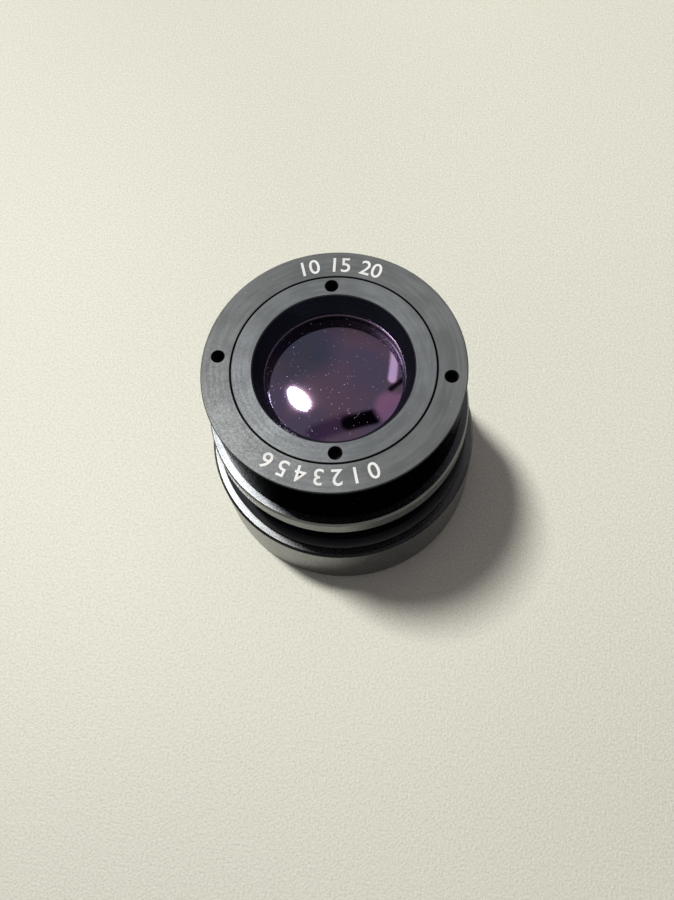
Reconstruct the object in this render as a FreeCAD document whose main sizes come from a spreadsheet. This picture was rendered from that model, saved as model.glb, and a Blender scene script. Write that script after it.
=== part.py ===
import FreeCAD, Part
import math
import os
import re
import Sketcher

# Thermal imaging lens, in millimetres. It stands on its rear face, with the optical axis along +Z,
# the front face up and the origin at the middle of the rear face.
#
# A lens cell carries the optics. It screws down into the mount barrel on a fine focus thread,
# and a lock ring jams that thread. All pieces are turned, so each is a half-section spun about Z.
# Threads are plain cylinders at their outer diameter.

SIZES = {
    # Front lens
    "front_lens_radius": 10.2,
    "front_lens_edge": 2.2,         # thickness of the flat rim
    "front_lens_bevel": 0.15,
    "front_rim_width": 2.2,         # flat rim around the convex front surface
    "front_dome_curve": 22.0,       # radius of curvature
    "front_dish_rim": 2.2,          # flat rim around the hollow rear surface
    "front_dish_curve": 30.0,
    # Rear lens
    "rear_lens_edge": 2.0,
    "rear_lens_bevel": 0.15,
    "rear_rim_width": 1.7,
    "rear_dome_curve": 21.0,
    "rear_dish_rim": 1.8,
    "rear_dish_curve": 60.0,
    # Front retaining ring
    "front_thread_step": 1.4,       # from the lens pocket out to the ring's thread
    "front_ring_height": 2.7,
    "front_ring_edge": 0.12,
    "front_ring_overlap": 0.1,      # how far it reaches over the dome's edge
    "front_ring_land": 0.4,
    "front_ring_flare": 1.26,       # how much the bore widens to the front
    "front_ring_clocking": 98.3,    # how far round the ring stands when it is tight
    # Lens cell, inside
    "ring_runout": 0.2,             # thread runout below the front retaining ring
    "web_height": 2.4,              # from the front lens seat to the stop's shoulder
    "seat_groove_inset": 0.2,       # face groove of the front lens seal
    "seat_groove_width": 0.9,
    "seat_groove_depth": 0.7,
    "stack_step": 0.6,              # from the lens pocket in to the bore of the stack
    "stop_shoulder_width": 1.05,
    "rear_thread_step": 0.65,
    "rear_thread_length": 3.8,
    "cell_edge": 0.2,               # lead of the two internal threads
    # Lens cell, outside
    "cell_wall": 2.57,              # between the front ring's thread and the focus thread
    "flange_overhang": 0.75,        # the engraved front flange stands out this far
    "flange_height": 0.8,
    "flange_taper": 0.45,           # how much narrower the flange is at its foot
    "face_edge": 0.15,
    "relief_depth": 0.25,           # thread relief below the flange
    "relief_height": 0.5,
    "focus_thread_lead": 0.3,       # chamfer at the thread's lower end
    "pilot_step": 0.65,             # plain guide below the focus thread
    "pilot_edge": 0.3,
    "pilot_groove_offset": 2.6,     # seal groove, up from the cell's rear end
    "pilot_groove_width": 1.4,
    "pilot_groove_depth": 0.9,
    # Spanner holes
    "spanner_hole_radius": 0.75,
    "cell_hole_inset": 0.15,        # inside the middle of the front flange
    "cell_hole_depth": 2.0,
    "ring_hole_depth": 1.8,
    # Mount barrel
    "collar_wall": 1.0,             # threaded collar around the focus thread
    "collar_height": 6.5,
    "collar_edge": 0.3,
    "shoulder_width": 1.75,         # sealing shoulder between the collar and the rear body
    "housing_groove_depth": 0.75,   # seal groove at the foot of the collar
    "housing_groove_height": 1.6,
    "body_height": 10.0,            # from the rear face to the sealing shoulder
    "body_edge": 0.3,
    "thread_engagement": 3.6,       # focus thread inside the mount barrel
    "focus_travel": 0.8,            # room below the cell for focusing
    "rear_stop_width": 1.25,        # ledge below the cell
    "rear_bore_length": 3.4,        # opening towards the detector
    # Lock ring
    "lock_ring_wall": 1.5,
    "lock_ring_height": 2.8,
    "lock_ring_edge": 0.15,         # around its foot
    "lock_ring_bevel_width": 0.18,  # steep bevel around its top
    "lock_ring_bevel_height": 0.45,
    # Rings between the optics
    "washer_height": 0.2,
    "washer_inset": 0.15,           # clear of the dome's edge
    "stop_height": 0.3,
    "stop_reach": 1.2,              # from the stop's shoulder in to the aperture
    "stop_lip": 0.08,
    "stop_bevel": 0.6,
    "shim_height": 0.2,
    "shim_width": 0.9,
    "spacer_height": 8.7,
    "spacer_wall": 1.2,
    "spacer_groove_depth": 0.55,    # glare grooves in the spacer's wall
    "spacer_groove_pitch": 0.8,
    "spacer_groove_width": 0.6,
    "spacer_margin": 0.7,
    "compensator_height": 1.5,
    "compensator_width": 1.4,
    "cushion_height": 0.8,
    "cushion_inset": 0.3,           # clear of the rear dome's edge
    "cushion_width": 1.0,
    # Rear retaining ring
    "rear_ring_height": 2.6,
    "rear_ring_edge": 0.2,
    "rear_ring_inset": 0.1,         # clear of the rear dome's edge
    "rear_ring_flare": 0.8,         # how much the bore widens to the rear
    "rear_ring_recess": 0.8,        # behind the cell's rear end
    "rear_slot_width": 1.4,
    "rear_slot_depth": 1.1,
    # Seals
    "housing_seal_section": 0.75,   # radius of the round section on the shoulder
    "seal_rounding": 0.25,
    # Clearances on the radius
    "thread_clearance": 0.03,
    "fit_clearance": 0.05,
    "groove_clearance": 0.05,       # each side of a seal in its groove
}

# Radii from the inside out, then heights, that follow from the sizes above
WORKED_OUT = {
    "lens_pocket_radius": "front_lens_radius + fit_clearance",
    "front_dome_radius": "front_lens_radius - front_rim_width",
    "front_dish_radius": "front_lens_radius - front_dish_rim",
    "front_ring_radius": "lens_pocket_radius + front_thread_step",
    "front_ring_throat": "front_dome_radius - front_ring_overlap",
    "front_ring_mouth": "front_ring_throat + front_ring_flare",
    "ring_bore_radius": "front_ring_radius + thread_clearance",
    "ring_hole_circle": "(front_ring_mouth + front_ring_radius) / 2",
    "seat_groove_outer": "lens_pocket_radius - seat_groove_inset",
    "seat_groove_inner": "seat_groove_outer - seat_groove_width",
    "stack_bore_radius": "lens_pocket_radius - stack_step",
    "stack_ring_radius": "stack_bore_radius - fit_clearance",
    "throat_radius": "stack_bore_radius - stop_shoulder_width",
    "aperture_radius": "throat_radius - stop_reach",
    "rear_dome_radius": "stack_ring_radius - rear_rim_width",
    "rear_dish_radius": "stack_ring_radius - rear_dish_rim",
    "rear_thread_radius": "stack_bore_radius + rear_thread_step",
    "rear_ring_radius": "rear_thread_radius - thread_clearance",
    "rear_ring_inner": "rear_dome_radius + rear_ring_inset",
    "focus_thread_radius": "ring_bore_radius + cell_wall",
    "focus_bore_radius": "focus_thread_radius + thread_clearance",
    "face_radius": "focus_thread_radius + flange_overhang",
    "cell_hole_circle": "(ring_bore_radius + face_radius) / 2 - cell_hole_inset",
    "pilot_radius": "focus_thread_radius - pilot_step",
    "pilot_bore_radius": "pilot_radius + fit_clearance",
    "rear_bore_radius": "pilot_bore_radius - rear_stop_width",
    "lock_ring_radius": "focus_thread_radius + lock_ring_wall",
    "collar_radius": "focus_thread_radius + collar_wall",
    "body_radius": "collar_radius + shoulder_width",
    "housing_groove_root": "collar_radius - housing_groove_depth",
    "front_dome_sag": "front_dome_curve - sqrt(front_dome_curve^2 - front_dome_radius^2)",
    "front_dish_sag": "front_dish_curve - sqrt(front_dish_curve^2 - front_dish_radius^2)",
    "rear_dome_sag": "rear_dome_curve - sqrt(rear_dome_curve^2 - rear_dome_radius^2)",
    "rear_dish_sag": "rear_dish_curve - sqrt(rear_dish_curve^2 - rear_dish_radius^2)",
    "rear_lens_top": "rear_dome_sag + rear_lens_edge",
    "seat_depth": "front_ring_height + washer_height + front_lens_edge",
    "stack_height": "stop_height + shim_height + spacer_height + compensator_height"
                    " + rear_lens_edge + cushion_height + rear_ring_height",
    "cell_length": "seat_depth + web_height + stack_height + rear_ring_recess",
    "seat_height": "cell_length - seat_depth",
    "stop_shoulder": "seat_height - web_height",
    "ring_floor": "cell_length - front_ring_height - washer_height - ring_runout",
    "flange_foot": "cell_length - flange_height",
    "pilot_groove_top": "pilot_groove_offset + pilot_groove_width",
    "cell_foot": "rear_bore_length + focus_travel",
    "collar_top": "body_height + collar_height",
    "focus_bore_foot": "collar_top - thread_engagement - focus_travel",
    "thread_foot": "collar_top - thread_engagement - cell_foot",
}

doc = FreeCAD.newDocument("ThermalLens")
sheet = doc.addObject("Spreadsheet::Sheet", "dims")
for row, (alias, size) in enumerate(SIZES.items(), start=1):
    sheet.set(f"A{row}", alias)
    sheet.set(f"B{row}", str(size))
    sheet.setAlias(f"B{row}", alias)
doc.recompute()


def bound(formula):
    """Turn the names in a formula into references to the sheet."""

    def look_up(match):
        name = match.group()
        if name in WORKED_OUT:
            return f"({bound(WORKED_OUT[name])})"
        if name in SIZES:
            return f"dims.{name}"
        return name

    return re.sub(r"[a-z]+(?:_[a-z]+)*", look_up, formula)


def number(formula):
    """The present value of a formula."""
    return float(sheet.evalExpression(bound(formula)))


def origin_feature(body, role):
    """One of the body's own origin planes or axes."""
    return next(item for item in body.Origin.OriginFeatures if item.Role == role)


def axis_arc(start, end):
    """The short arc between two points about a centre on the axis, and whether it runs backwards."""
    centre = (end.x**2 + end.y**2 - start.x**2 - start.y**2) / (2 * (end.y - start.y))
    first = math.atan2(start.y - centre, start.x)
    last = math.atan2(end.y - centre, end.x)
    backwards = (last - first) % (2 * math.pi) > math.pi
    if backwards:
        first, last = last, first
    radius = math.hypot(end.x, end.y - centre)
    circle = Part.Circle(FreeCAD.Vector(0, centre, 0), FreeCAD.Vector(0, 0, 1), radius)
    return Part.ArcOfCircle(circle, first, last), backwards


def pin_point(sketch, edge, end, across, up):
    """Tie one point of a sketch to its distance from the axis and its height."""
    for kind, formula, line in (("DistanceX", across, -2), ("DistanceY", up, -1)):
        if formula == "0":
            sketch.addConstraint(Sketcher.Constraint("PointOnObject", edge, end, line))
            continue
        index = sketch.addConstraint(Sketcher.Constraint(kind, -1, 1, edge, end, number(formula)))
        sketch.setExpression(f"Constraints[{index}]", bound(formula))


def half_section(body, name, corners, curved=()):
    """A closed outline in the body's XZ plane; the curved edges bulge about a centre on the axis."""
    sketch = body.newObject("Sketcher::SketchObject", name)
    sketch.AttachmentSupport = [(origin_feature(body, "XZ_Plane"), "")]
    sketch.MapMode = "FlatFace"
    points = [FreeCAD.Vector(number(across), number(up), 0) for across, up in corners]
    ends = []
    for index, start in enumerate(points):
        end = points[(index + 1) % len(points)]
        backwards = False
        if index in curved:
            edge, backwards = axis_arc(start, end)
        else:
            edge = Part.LineSegment(start, end)
        sketch.addGeometry(edge, False)
        ends.append((2, 1) if backwards else (1, 2))
    for index, (start_end, far_end) in enumerate(ends):
        following = (index + 1) % len(ends)
        sketch.addConstraint(Sketcher.Constraint("Coincident", index, far_end, following, ends[following][0]))
        pin_point(sketch, index, start_end, *corners[index])
        if index in curved:
            sketch.addConstraint(Sketcher.Constraint("PointOnObject", index, 3, -2))
    return sketch


def turned(label, seat, corners, curved=()):
    """A turned piece whose own zero height sits at the seat."""
    body = doc.addObject("PartDesign::Body", label)
    body.Label = label
    if seat != "0":
        body.setExpression(".Placement.Base.z", bound(seat))
    section = half_section(body, f"{label}_section", corners, curved)
    spin = body.newObject("PartDesign::Revolution", f"{label}_turning")
    spin.Profile = section
    spin.ReferenceAxis = (section, ["V_Axis"])
    spin.Angle = 360
    section.Visibility = False
    doc.recompute()
    return body


def check_cut(body, before):
    """Make sure that the last cut took something away."""
    doc.recompute()
    if body.Shape.Volume >= before:
        raise RuntimeError(f"{body.Tip.Name} cuts nothing")


def turned_groove(body, name, corners):
    """A groove turned into a piece."""
    before = body.Shape.Volume
    section = half_section(body, f"{name}_section", corners)
    groove = body.newObject("PartDesign::Groove", name)
    groove.Profile = section
    groove.ReferenceAxis = (section, ["V_Axis"])
    groove.Angle = 360
    section.Visibility = False
    check_cut(body, before)
    return groove


def flat_sketch(body, name, height):
    """A sketch across the axis at a height."""
    sketch = body.newObject("Sketcher::SketchObject", name)
    sketch.AttachmentSupport = [(origin_feature(body, "XY_Plane"), "")]
    sketch.MapMode = "FlatFace"
    if height != "0":
        sketch.setExpression(".AttachmentOffset.Base.z", bound(height))
    return sketch


def opposite_pair(body, pocket):
    """Repeat a cut on the other side of the axis."""
    before = body.Shape.Volume
    pattern = body.newObject("PartDesign::PolarPattern", f"{pocket.Name}_pair")
    pattern.Originals = [pocket]
    pattern.Axis = (origin_feature(body, "Z_Axis"), [""])
    pattern.Angle = 360
    pattern.Occurrences = 2
    body.Tip = pattern
    check_cut(body, before)


def spanner_holes(body, name, height, circle, depth):
    """Two blind holes for a pin spanner, drilled down from a height."""
    before = body.Shape.Volume
    sketch = flat_sketch(body, f"{name}_sketch", height)
    start = FreeCAD.Vector(number(circle), 0, 0)
    sketch.addGeometry(Part.Circle(start, FreeCAD.Vector(0, 0, 1), number("spanner_hole_radius")), False)
    pin_point(sketch, 0, 3, circle, "0")
    index = sketch.addConstraint(Sketcher.Constraint("Radius", 0, number("spanner_hole_radius")))
    sketch.setExpression(f"Constraints[{index}]", bound("spanner_hole_radius"))
    pocket = body.newObject("PartDesign::Pocket", name)
    pocket.Profile = sketch
    pocket.setExpression("Length", bound(depth))
    sketch.Visibility = False
    check_cut(body, before)
    opposite_pair(body, pocket)


def flat_ring(label, seat, inner, outer, height):
    """A flat washer: one cylinder cut out of another."""
    disc = doc.addObject("Part::Cylinder", f"{label}_disc")
    hole = doc.addObject("Part::Cylinder", f"{label}_hole")
    for solid, radius in ((disc, outer), (hole, inner)):
        solid.setExpression("Radius", bound(radius))
        solid.setExpression("Height", bound(height))
        solid.setExpression(".Placement.Base.z", bound(seat))
    ring = doc.addObject("Part::Cut", label)
    ring.Base = disc
    ring.Tool = hole
    ring.Label = label
    return ring


def squeezed_seal(label, seat, inner, width, height):
    """An elastic ring as it is squeezed in its groove: flat where it is pressed, rounded at its edges."""
    outer = f"{inner} + {width}"
    body = turned(label, seat, [(inner, "0"), (outer, "0"), (outer, height), (inner, height)])
    rounding = body.newObject("PartDesign::Fillet", f"{label}_rounding")
    turning = body.Group[1]
    rims = [f"Edge{index + 1}" for index, edge in enumerate(turning.Shape.Edges) if edge.Closed]
    rounding.Base = (turning, rims)
    rounding.setExpression("Radius", bound(f"min(seal_rounding; 0.45 * ({height}); 0.45 * ({width}))"))
    body.Tip = rounding
    return body


mount_barrel = turned(
    "mount_barrel",
    "0",
    [
        ("rear_bore_radius + body_edge", "0"),
        ("body_radius - body_edge", "0"),
        ("body_radius", "body_edge"),
        ("body_radius", "body_height - body_edge"),
        ("body_radius - body_edge", "body_height"),
        ("collar_radius", "body_height"),
        ("collar_radius", "collar_top - collar_edge"),
        ("collar_radius - collar_edge", "collar_top"),
        ("focus_bore_radius", "collar_top"),
        ("focus_bore_radius", "focus_bore_foot"),
        ("pilot_bore_radius", "focus_bore_foot"),
        ("pilot_bore_radius", "rear_bore_length"),
        ("rear_bore_radius", "rear_bore_length"),
        ("rear_bore_radius", "body_edge"),
    ],
)

turned_groove(
    mount_barrel,
    "housing_groove",
    [
        ("housing_groove_root", "body_height"),
        ("collar_radius + housing_groove_depth", "body_height"),
        ("collar_radius + housing_groove_depth", "body_height + housing_groove_height"),
        ("housing_groove_root", "body_height + housing_groove_height"),
    ],
)

housing_seal_ring = doc.addObject("Part::Torus", "housing_seal_ring")
housing_seal_ring.Label = "housing_seal_ring"
housing_seal_ring.setExpression("Radius1", bound("housing_groove_root + housing_seal_section"))
housing_seal_ring.setExpression("Radius2", bound("housing_seal_section"))
housing_seal_ring.setExpression(".Placement.Base.z", bound("body_height + housing_seal_section"))

lock_ring = turned(
    "lock_ring",
    "collar_top",
    [
        ("focus_bore_radius", "0"),
        ("lock_ring_radius - lock_ring_edge", "0"),
        ("lock_ring_radius", "lock_ring_edge"),
        ("lock_ring_radius", "lock_ring_height - lock_ring_bevel_height"),
        ("lock_ring_radius - lock_ring_bevel_width", "lock_ring_height"),
        ("focus_bore_radius", "lock_ring_height"),
    ],
)

lens_cell = turned(
    "lens_cell",
    "cell_foot",
    [
        ("rear_thread_radius + cell_edge", "0"),
        ("pilot_radius - pilot_edge", "0"),
        ("pilot_radius", "pilot_edge"),
        ("pilot_radius", "thread_foot"),
        ("focus_thread_radius - focus_thread_lead", "thread_foot"),
        ("focus_thread_radius", "thread_foot + focus_thread_lead"),
        ("focus_thread_radius", "flange_foot"),
        ("face_radius - flange_taper", "flange_foot"),
        ("face_radius", "cell_length - face_edge"),
        ("face_radius - face_edge", "cell_length"),
        ("ring_bore_radius + cell_edge", "cell_length"),
        ("ring_bore_radius", "cell_length - cell_edge"),
        ("ring_bore_radius", "ring_floor"),
        ("lens_pocket_radius", "ring_floor"),
        ("lens_pocket_radius", "seat_height"),
        ("throat_radius", "seat_height"),
        ("throat_radius", "stop_shoulder"),
        ("stack_bore_radius", "stop_shoulder"),
        ("stack_bore_radius", "rear_thread_length"),
        ("rear_thread_radius", "rear_thread_length"),
        ("rear_thread_radius", "cell_edge"),
    ],
)
turned_groove(
    lens_cell,
    "thread_relief",
    [
        ("focus_thread_radius - relief_depth", "flange_foot - relief_height"),
        ("focus_thread_radius + relief_depth", "flange_foot - relief_height"),
        ("focus_thread_radius + relief_depth", "flange_foot"),
        ("focus_thread_radius - relief_depth", "flange_foot"),
    ],
)
turned_groove(
    lens_cell,
    "pilot_groove",
    [
        ("pilot_radius - pilot_groove_depth", "pilot_groove_offset"),
        ("pilot_radius + pilot_groove_depth", "pilot_groove_offset"),
        ("pilot_radius + pilot_groove_depth", "pilot_groove_top"),
        ("pilot_radius - pilot_groove_depth", "pilot_groove_top"),
    ],
)
turned_groove(
    lens_cell,
    "seat_groove",
    [
        ("seat_groove_inner", "seat_height - seat_groove_depth"),
        ("seat_groove_outer", "seat_height - seat_groove_depth"),
        ("seat_groove_outer", "seat_height + seat_groove_depth"),
        ("seat_groove_inner", "seat_height + seat_groove_depth"),
    ],
)
spanner_holes(lens_cell, "cell_spanner_holes", "cell_length", "cell_hole_circle", "cell_hole_depth")

cell_seal_ring = squeezed_seal(
    "cell_seal_ring",
    "cell_foot + pilot_groove_offset + groove_clearance",
    "pilot_radius - pilot_groove_depth",
    "(pilot_groove_depth + fit_clearance)",
    "pilot_groove_width - 2 * groove_clearance",
)

front_lens_seal = squeezed_seal(
    "front_lens_seal",
    "cell_foot + seat_height - seat_groove_depth",
    "seat_groove_inner + groove_clearance",
    "(seat_groove_width - 2 * groove_clearance)",
    "seat_groove_depth",
)

front_lens = turned(
    "front_lens",
    "cell_foot + seat_height",
    [
        ("0", "front_dish_sag"),
        ("front_dish_radius", "0"),
        ("front_lens_radius - front_lens_bevel", "0"),
        ("front_lens_radius", "front_lens_bevel"),
        ("front_lens_radius", "front_lens_edge - front_lens_bevel"),
        ("front_lens_radius - front_lens_bevel", "front_lens_edge"),
        ("front_dome_radius", "front_lens_edge"),
        ("0", "front_lens_edge + front_dome_sag"),
    ],
    curved=(0, 6),
)

front_slip_washer = flat_ring(
    "front_slip_washer",
    "cell_foot + seat_height + front_lens_edge",
    "front_dome_radius + washer_inset",
    "front_lens_radius",
    "washer_height",
)

front_retaining_ring = turned(
    "front_retaining_ring",
    "cell_foot + cell_length - front_ring_height",
    [
        ("front_ring_throat", "0"),
        ("front_ring_radius - front_ring_edge", "0"),
        ("front_ring_radius", "front_ring_edge"),
        ("front_ring_radius", "front_ring_height - front_ring_edge"),
        ("front_ring_radius - front_ring_edge", "front_ring_height"),
        ("front_ring_mouth + front_ring_edge", "front_ring_height"),
        ("front_ring_mouth", "front_ring_height - front_ring_edge"),
        ("front_ring_throat", "front_ring_land"),
    ],
)
spanner_holes(
    front_retaining_ring,
    "ring_spanner_holes",
    "front_ring_height",
    "ring_hole_circle",
    "ring_hole_depth",
)
clocking = FreeCAD.Rotation(FreeCAD.Vector(0, 0, 1), number("front_ring_clocking"))
front_retaining_ring.Placement.Rotation = clocking
front_retaining_ring.setExpression(".Placement.Rotation.Angle", bound("front_ring_clocking"))

aperture_stop = turned(
    "aperture_stop",
    "cell_foot + stop_shoulder - stop_height",
    [
        ("aperture_radius + stop_bevel", "0"),
        ("stack_ring_radius", "0"),
        ("stack_ring_radius", "stop_height"),
        ("aperture_radius", "stop_height"),
        ("aperture_radius", "stop_height - stop_lip"),
    ],
)

spacing_shim = flat_ring(
    "spacing_shim",
    "cell_foot + stop_shoulder - stop_height - shim_height",
    "stack_ring_radius - shim_width",
    "stack_ring_radius",
    "shim_height",
)

spacer_tube = turned(
    "spacer_tube",
    "cell_foot + stop_shoulder - stop_height - shim_height - spacer_height",
    [
        ("stack_ring_radius - spacer_wall", "0"),
        ("stack_ring_radius", "0"),
        ("stack_ring_radius", "spacer_height"),
        ("stack_ring_radius - spacer_wall", "spacer_height"),
    ],
)
glare_groove = turned_groove(
    spacer_tube,
    "glare_groove",
    [
        ("stack_ring_radius - spacer_wall - spacer_groove_depth", "spacer_margin"),
        ("stack_ring_radius - spacer_wall + spacer_groove_depth", "spacer_margin"),
        ("stack_ring_radius - spacer_wall", "spacer_margin + spacer_groove_width"),
        ("stack_ring_radius - spacer_wall - spacer_groove_depth", "spacer_margin + spacer_groove_width"),
    ],
)
GROOVE_COUNT = "floor((spacer_height - 2 * spacer_margin - spacer_groove_width) / spacer_groove_pitch)"
glare_grooves = spacer_tube.newObject("PartDesign::LinearPattern", "glare_grooves")
glare_grooves.Originals = [glare_groove]
glare_grooves.Direction = (origin_feature(spacer_tube, "Z_Axis"), [""])
glare_grooves.setExpression("Length", bound(f"{GROOVE_COUNT} * spacer_groove_pitch"))
glare_grooves.setExpression("Occurrences", bound(f"{GROOVE_COUNT} + 1"))
spacer_tube.Tip = glare_grooves

compensator_ring = flat_ring(
    "compensator_ring",
    "cell_foot + rear_ring_recess + rear_ring_height + cushion_height + rear_lens_edge",
    "stack_ring_radius - compensator_width",
    "stack_ring_radius",
    "compensator_height",
)

rear_lens = turned(
    "rear_lens",
    "cell_foot + rear_ring_recess + rear_ring_height + cushion_height - rear_dome_sag",
    [
        ("0", "0"),
        ("rear_dome_radius", "rear_dome_sag"),
        ("stack_ring_radius - rear_lens_bevel", "rear_dome_sag"),
        ("stack_ring_radius", "rear_dome_sag + rear_lens_bevel"),
        ("stack_ring_radius", "rear_lens_top - rear_lens_bevel"),
        ("stack_ring_radius - rear_lens_bevel", "rear_lens_top"),
        ("rear_dish_radius", "rear_lens_top"),
        ("0", "rear_lens_top - rear_dish_sag"),
    ],
    curved=(0, 6),
)

rear_lens_cushion = squeezed_seal(
    "rear_lens_cushion",
    "cell_foot + rear_ring_recess + rear_ring_height",
    "rear_dome_radius + cushion_inset",
    "cushion_width",
    "cushion_height",
)

rear_retaining_ring = turned(
    "rear_retaining_ring",
    "cell_foot + rear_ring_recess",
    [
        ("rear_ring_inner + rear_ring_flare", "0"),
        ("rear_ring_radius - rear_ring_edge", "0"),
        ("rear_ring_radius", "rear_ring_edge"),
        ("rear_ring_radius", "rear_ring_height - rear_ring_edge"),
        ("rear_ring_radius - rear_ring_edge", "rear_ring_height"),
        ("rear_ring_inner", "rear_ring_height"),
    ],
)
unslotted = rear_retaining_ring.Shape.Volume
slot_sketch = flat_sketch(rear_retaining_ring, "slot_sketch", "0")
SLOT_CORNERS = [
    ("rear_ring_inner - rear_slot_width", "rear_slot_width / 2"),
    ("rear_ring_radius + rear_slot_width", "rear_slot_width / 2"),
    ("rear_ring_radius + rear_slot_width", "-rear_slot_width / 2"),
    ("rear_ring_inner - rear_slot_width", "-rear_slot_width / 2"),
]
slot_points = [FreeCAD.Vector(number(across), number(up), 0) for across, up in SLOT_CORNERS]
for index, start in enumerate(slot_points):
    slot_sketch.addGeometry(Part.LineSegment(start, slot_points[(index + 1) % 4]), False)
for index, (across, up) in enumerate(SLOT_CORNERS):
    slot_sketch.addConstraint(Sketcher.Constraint("Coincident", index, 2, (index + 1) % 4, 1))
    pin_point(slot_sketch, index, 1, across, up)
spanner_slot = rear_retaining_ring.newObject("PartDesign::Pocket", "spanner_slot")
spanner_slot.Profile = slot_sketch
spanner_slot.Reversed = True
spanner_slot.setExpression("Length", bound("rear_slot_depth"))
slot_sketch.Visibility = False
check_cut(rear_retaining_ring, unslotted)
opposite_pair(rear_retaining_ring, spanner_slot)

PIECES = [
    mount_barrel,
    housing_seal_ring,
    lock_ring,
    lens_cell,
    cell_seal_ring,
    front_lens_seal,
    front_lens,
    front_slip_washer,
    front_retaining_ring,
    aperture_stop,
    spacing_shim,
    spacer_tube,
    compensator_ring,
    rear_lens,
    rear_lens_cushion,
    rear_retaining_ring,
]

doc.recompute()
for item in doc.Objects:
    if "Invalid" in item.State or "Error" in item.State:
        raise RuntimeError(f"{item.Name} failed: {item.State}")
for piece in PIECES:
    if piece.Shape.isNull() or not piece.Shape.isValid() or len(piece.Shape.Solids) != 1:
        raise RuntimeError(f"{piece.Label} is not one sound solid")

os.makedirs("parts", exist_ok=True)
for piece in PIECES:
    piece.Shape.exportStep(f"parts/{piece.Label}.step")
    box = piece.Shape.BoundBox
    print(f"{piece.Label}: {piece.Shape.Volume:.1f} mm3, z {box.ZMin:.2f} to {box.ZMax:.2f}")
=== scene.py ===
"""A thermal imaging lens, dressed for a studio picture.

It stands on its rear face with the optical axis along +Z and the origin at the middle of that face.
Lengths are in metres, and mm() turns the millimetres of the workshop into them. Each class below
builds and dresses one sub-assembly around the solids of the frame.
"""

import logging
import math
from collections.abc import Callable, Iterable, Sequence
from dataclasses import dataclass, field
from enum import Enum

import bmesh
import bpy
from mathutils import Matrix, Vector


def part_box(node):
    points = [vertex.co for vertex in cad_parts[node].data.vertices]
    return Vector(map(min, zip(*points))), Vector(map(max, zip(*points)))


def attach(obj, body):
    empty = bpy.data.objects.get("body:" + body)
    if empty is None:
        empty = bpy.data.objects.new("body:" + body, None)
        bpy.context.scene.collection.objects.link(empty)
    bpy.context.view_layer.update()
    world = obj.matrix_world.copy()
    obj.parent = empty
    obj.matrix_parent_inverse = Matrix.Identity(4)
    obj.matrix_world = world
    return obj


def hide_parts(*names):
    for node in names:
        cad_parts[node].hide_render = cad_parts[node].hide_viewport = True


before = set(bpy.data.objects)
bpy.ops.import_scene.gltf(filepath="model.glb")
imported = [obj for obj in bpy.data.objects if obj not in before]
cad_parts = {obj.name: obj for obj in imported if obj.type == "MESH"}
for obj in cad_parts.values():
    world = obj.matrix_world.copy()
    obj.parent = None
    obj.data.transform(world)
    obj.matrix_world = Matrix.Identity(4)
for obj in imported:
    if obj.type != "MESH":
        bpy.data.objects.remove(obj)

BODY = "root"
log = logging.getLogger("thermal_lens")

Colour = tuple[float, float, float]
Outline = list[tuple[float, float]]
Span = tuple[float, float]
Value = float | int | bool | str | Sequence[float] | bpy.types.NodeSocket
Inputs = dict[str | int, Value]

NOISE_SPAN: Span = (0.3, 0.7)
UNIT_SPAN: Span = (0.0, 1.0)


def mm(length: float) -> float:
    """Millimetres in metres."""
    return length / 1000


ROUND_STEPS = 256
DRILL_STEPS = 40
SECTION_STEPS = 32
SHARP_ANGLE = math.radians(33)
WELD = mm(0.0005)
ON_AXIS = mm(0.0001)
SHORTEST_GUARD = mm(0.002)
ROUNDING_ROOM = 0.45


def sky(azimuth: float, elevation: float) -> Vector:
    """The direction at an angle from +X towards +Y and one above the floor, both in degrees."""
    turn, rise = math.radians(azimuth), math.radians(elevation)
    return Vector((math.cos(turn) * math.cos(rise), math.sin(turn) * math.cos(rise), math.sin(rise)))


class Grain(Enum):
    """How a metal surface was worked before it was anodised."""

    TURNED = "turned"
    BLASTED = "blasted"


class CutFinish(Enum):
    """Where the faces of a Boolean cut take their finish from."""

    PIECE = "INDEX"
    TOOL = "TRANSFER"


class SocketKind(Enum):
    """The kinds of socket on the node groups here."""

    NUMBER = "NodeSocketFloat"
    WHOLE = "NodeSocketInt"
    SHAPE = "NodeSocketGeometry"
    FINISH = "NodeSocketMaterial"


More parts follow.
